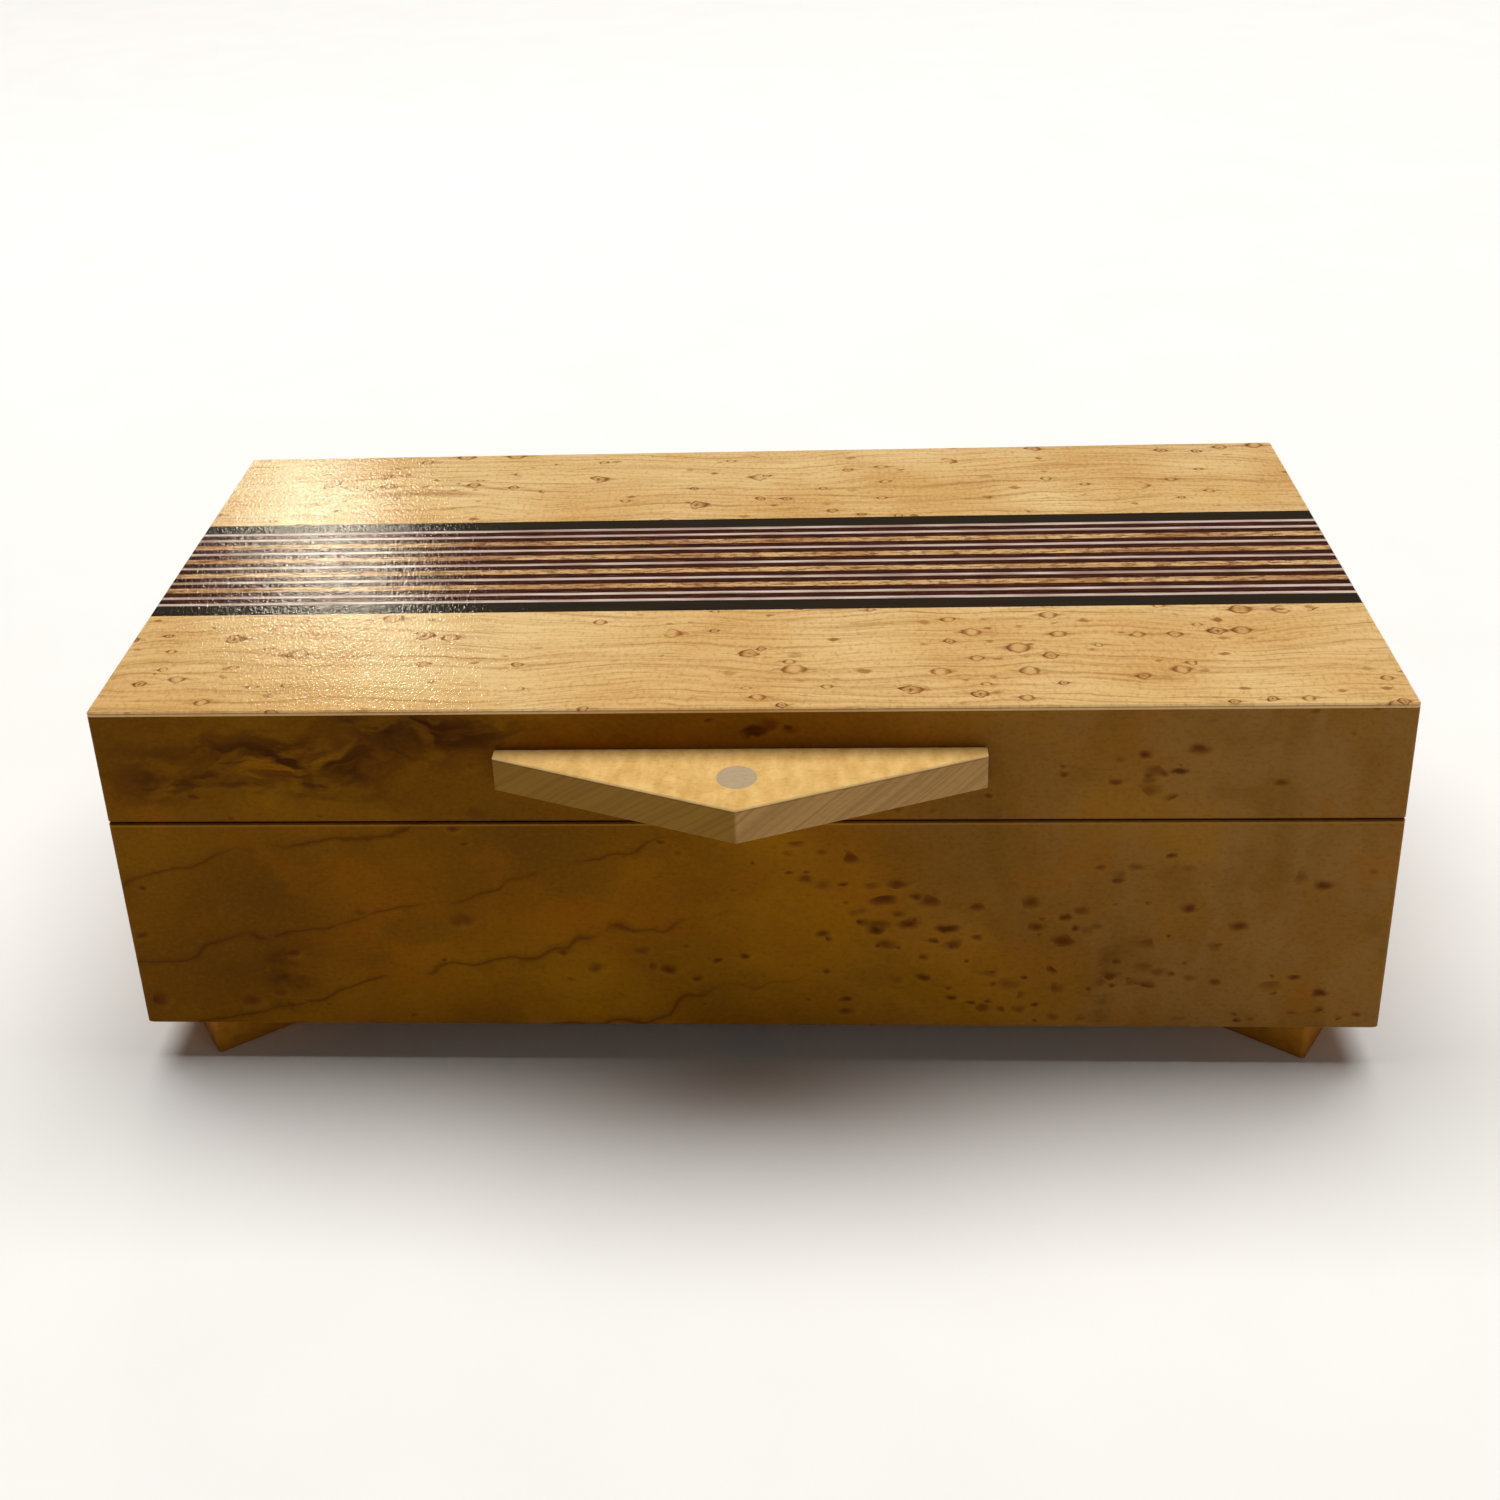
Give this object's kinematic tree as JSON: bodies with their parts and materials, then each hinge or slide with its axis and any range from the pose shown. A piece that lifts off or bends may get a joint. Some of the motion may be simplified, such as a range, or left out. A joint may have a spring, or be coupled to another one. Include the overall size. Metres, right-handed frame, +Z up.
{
  "type": "wooden puzzle box",
  "caption": "Veneered wooden keepsake box with a banded lid, a triangular pull and a hidden sliding latch that locks the hinged lid.",
  "frame": {"origin": "centre of the bounding box at floor level, on the plane the feet stand on", "axes": "+Z up, front face and pull towards -Y, +X to the right along the box's length"},
  "size_m": [0.315, 0.1807, 0.106],
  "materials": {
    "burl_veneer": "figured burl veneer under a satin lacquer",
    "birdseye_maple": "birdseye maple veneer under a satin lacquer",
    "black_inlay": "dyed black veneer strip, satin",
    "light_inlay": "pale holly line, satin",
    "dark_inlay": "dark red-brown line, satin",
    "figured_inlay": "tan strip with speckled edges, satin",
    "handle_maple": "solid maple, hand-rubbed satin",
    "dot_inlay": "pale round plug, satin",
    "foot_wood": "dark walnut, satin",
    "core_wood": "plain hardwood, planed",
    "liner_wood": "plain light hardwood, satin",
    "suede": "short-napped dark suede cloth over thin foam",
    "hinge_brass": "satin brass",
    "screw_brass": "bright brass",
    "tab_wood": "dark walnut, satin"
  },
  "bodies": {
    "base": {"base_front_board": "core_wood", "base_right_board": "core_wood", "base_back_board": "core_wood", "base_left_board": "core_wood", "base_front_veneer": "burl_veneer", "base_right_veneer": "burl_veneer", "base_back_veneer": "burl_veneer", "base_left_veneer": "burl_veneer", "front_liner": "liner_wood", "right_liner": "liner_wood", "back_liner": "liner_wood", "left_liner": "liner_wood", "bottom_panel": "core_wood", "floor_pad": "suede", "foot_front_right": "foot_wood", "foot_front_left": "foot_wood", "foot_rear_right": "foot_wood", "foot_rear_left": "foot_wood", "foot_screws": "screw_brass", "left_hinge_base_leaf": "hinge_brass", "right_hinge_base_leaf": "hinge_brass", "left_hinge_pin": "hinge_brass", "right_hinge_pin": "hinge_brass", "hinge_base_screws": "screw_brass", "latch_guide_screws": "screw_brass"},
    "lid": {"lid_front_rail": "core_wood", "lid_right_rail": "core_wood", "lid_back_rail": "core_wood", "lid_left_rail": "core_wood", "lid_front_veneer": "burl_veneer", "lid_right_veneer": "burl_veneer", "lid_back_veneer": "burl_veneer", "lid_left_veneer": "burl_veneer", "lid_top_panel": "core_wood", "lid_pad": "suede", "top_veneer_front": "birdseye_maple", "top_veneer_rear": "birdseye_maple", "inlay_border_strips": "black_inlay", "inlay_light_lines": "light_inlay", "inlay_dark_lines": "dark_inlay", "inlay_figured_strips": "figured_inlay", "pull_handle": "handle_maple", "pull_dowels": "core_wood", "handle_dot": "dot_inlay", "left_hinge_lid_leaf": "hinge_brass", "right_hinge_lid_leaf": "hinge_brass", "hinge_lid_screws": "screw_brass", "strike_plate": "hinge_brass", "strike_screws": "screw_brass"},
    "latch": {"latch_bar": "hinge_brass", "latch_tab": "tab_wood", "latch_pins": "screw_brass"}
  },
  "joints": [
    {"name": "lid_hinge", "type": "hinge", "parent": "base", "child": "lid", "pos_m": [0, 0.08775, 0.074], "axis": [-1, 0, 0], "range_deg": [0, 95]},
    {"name": "latch_slide", "type": "slide", "parent": "base", "child": "latch", "axis": [1, 0, 0], "range_m": [0, 0.006]}
  ]
}
